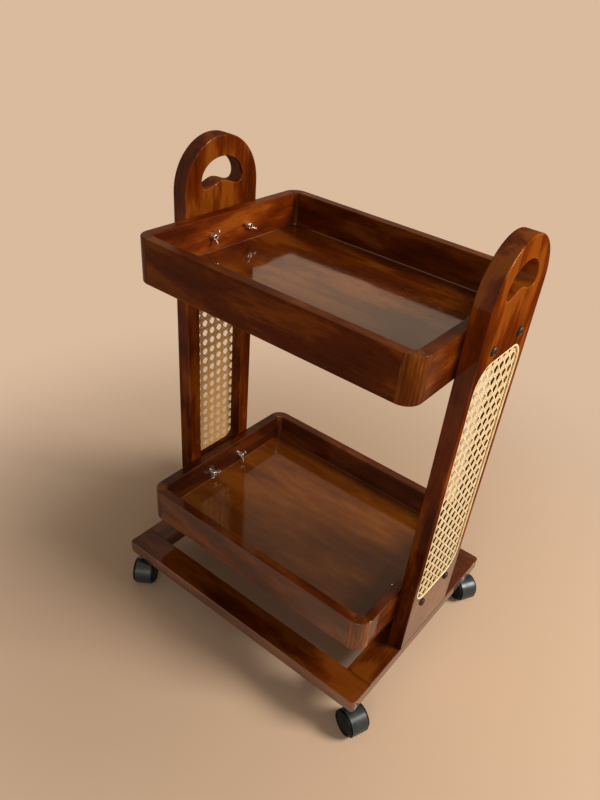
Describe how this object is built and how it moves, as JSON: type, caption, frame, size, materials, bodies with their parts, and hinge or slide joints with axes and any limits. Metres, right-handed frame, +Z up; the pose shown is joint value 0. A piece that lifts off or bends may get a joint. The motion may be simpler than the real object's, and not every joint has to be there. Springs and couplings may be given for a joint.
{
  "type": "rolling bar cart",
  "caption": "Tiered wooden bar cart with tray shelves bolted between arched cane-filled side panels with hand holes, on a rail frame with swivel casters.",
  "frame": {"origin": "on the floor, under the middle of the base frame", "axes": "+X along the cart towards the right side panel, +Y from the front to the back, +Z up"},
  "size_m": [0.6534, 0.5393, 0.8983],
  "materials": {
    "panel_wood": "glossy dark walnut lacquer, vertical grain",
    "tray_wood": "glossy dark walnut lacquer, grain along the wall",
    "floor_wood": "high gloss dark walnut lacquer",
    "post_wood": "glossy walnut lacquer, vertical grain",
    "base_wood": "glossy dark walnut lacquer",
    "cane": "natural woven cane, satin",
    "reed": "natural reed, satin",
    "black_steel": "black oxide, semi-matte",
    "nickel": "bright nickel plate",
    "caster_steel": "zinc plated",
    "hood_plastic": "dark grey moulded nylon, soft sheen",
    "wheel_plastic": "black moulded nylon"
  },
  "bodies": {
    "cart": {"base_rail_front": "base_wood", "base_rail_back": "base_wood", "base_rail_left": "base_wood", "side_panel_left": "panel_wood", "cane_panel_left": "cane", "cane_reed_left": "reed", "base_rail_right": "base_wood", "side_panel_right": "panel_wood", "cane_panel_right": "cane", "cane_reed_right": "reed", "upper_tray_floor": "floor_wood", "upper_tray_wall_front": "tray_wood", "upper_tray_wall_back": "tray_wood", "upper_tray_wall_left": "tray_wood", "upper_tray_wall_right": "tray_wood", "upper_tray_post_front_left": "post_wood", "bolt_upper_front_left": "black_steel", "wing_nut_upper_front_left": "nickel", "upper_tray_post_front_right": "post_wood", "bolt_upper_front_right": "black_steel", "wing_nut_upper_front_right": "nickel", "upper_tray_post_back_left": "post_wood", "bolt_upper_back_left": "black_steel", "wing_nut_upper_back_left": "nickel", "upper_tray_post_back_right": "post_wood", "bolt_upper_back_right": "black_steel", "wing_nut_upper_back_right": "nickel", "lower_tray_floor": "floor_wood", "lower_tray_wall_front": "tray_wood", "lower_tray_wall_back": "tray_wood", "lower_tray_wall_left": "tray_wood", "lower_tray_wall_right": "tray_wood", "lower_tray_post_front_left": "post_wood", "bolt_lower_front_left": "black_steel", "wing_nut_lower_front_left": "nickel", "lower_tray_post_front_right": "post_wood", "bolt_lower_front_right": "black_steel", "wing_nut_lower_front_right": "nickel", "lower_tray_post_back_left": "post_wood", "bolt_lower_back_left": "black_steel", "wing_nut_lower_back_left": "nickel", "lower_tray_post_back_right": "post_wood", "bolt_lower_back_right": "black_steel", "wing_nut_lower_back_right": "nickel", "caster_stem_front_left": "caster_steel", "caster_stem_back_left": "caster_steel", "caster_stem_front_right": "caster_steel", "caster_stem_back_right": "caster_steel"},
    "hood_front_left": {"caster_hood_front_left": "hood_plastic"},
    "wheel_front_left_a": {"caster_wheel_front_left_a": "wheel_plastic"},
    "wheel_front_left_b": {"caster_wheel_front_left_b": "wheel_plastic"},
    "hood_back_left": {"caster_hood_back_left": "hood_plastic"},
    "wheel_back_left_a": {"caster_wheel_back_left_a": "wheel_plastic"},
    "wheel_back_left_b": {"caster_wheel_back_left_b": "wheel_plastic"},
    "hood_front_right": {"caster_hood_front_right": "hood_plastic"},
    "wheel_front_right_a": {"caster_wheel_front_right_a": "wheel_plastic"},
    "wheel_front_right_b": {"caster_wheel_front_right_b": "wheel_plastic"},
    "hood_back_right": {"caster_hood_back_right": "hood_plastic"},
    "wheel_back_right_a": {"caster_wheel_back_right_a": "wheel_plastic"},
    "wheel_back_right_b": {"caster_wheel_back_right_b": "wheel_plastic"}
  },
  "joints": [
    {"name": "swivel_front_left", "type": "hinge", "parent": "cart", "child": "hood_front_left", "pos_m": [-0.276, -0.22, 0.0567], "axis": [0, 0, 1], "continuous": true},
    {"name": "spin_front_left_a", "type": "hinge", "parent": "hood_front_left", "child": "wheel_front_left_a", "pos_m": [-0.26395, -0.2372, 0.0265], "axis": [0.8192, 0.5736, 0], "continuous": true},
    {"name": "spin_front_left_b", "type": "hinge", "parent": "hood_front_left", "child": "wheel_front_left_b", "pos_m": [-0.26395, -0.2372, 0.0265], "axis": [0.8192, 0.5736, 0], "continuous": true},
    {"name": "swivel_back_left", "type": "hinge", "parent": "cart", "child": "hood_back_left", "pos_m": [-0.276, 0.22, 0.0567], "axis": [0, 0, 1], "continuous": true},
    {"name": "spin_back_left_a", "type": "hinge", "parent": "hood_back_left", "child": "wheel_back_left_a", "pos_m": [-0.29085, 0.23485, 0.0265], "axis": [-0.7071, -0.7071, 0], "continuous": true},
    {"name": "spin_back_left_b", "type": "hinge", "parent": "hood_back_left", "child": "wheel_back_left_b", "pos_m": [-0.29085, 0.23485, 0.0265], "axis": [-0.7071, -0.7071, 0], "continuous": true},
    {"name": "swivel_front_right", "type": "hinge", "parent": "cart", "child": "hood_front_right", "pos_m": [0.276, -0.22, 0.0567], "axis": [0, 0, 1], "continuous": true},
    {"name": "spin_front_right_a", "type": "hinge", "parent": "hood_front_right", "child": "wheel_front_right_a", "pos_m": [0.29547, -0.22787, 0.0265], "axis": [0.3746, 0.9272, 0], "continuous": true},
    {"name": "spin_front_right_b", "type": "hinge", "parent": "hood_front_right", "child": "wheel_front_right_b", "pos_m": [0.29547, -0.22787, 0.0265], "axis": [0.3746, 0.9272, 0], "continuous": true},
    {"name": "swivel_back_right", "type": "hinge", "parent": "cart", "child": "hood_back_right", "pos_m": [0.276, 0.22, 0.0567], "axis": [0, 0, 1], "continuous": true},
    {"name": "spin_back_right_a", "type": "hinge", "parent": "hood_back_right", "child": "wheel_back_right_a", "pos_m": [0.29419, 0.2095, 0.0265], "axis": [0.5, 0.866, 0], "continuous": true},
    {"name": "spin_back_right_b", "type": "hinge", "parent": "hood_back_right", "child": "wheel_back_right_b", "pos_m": [0.29419, 0.2095, 0.0265], "axis": [0.5, 0.866, 0], "continuous": true}
  ]
}
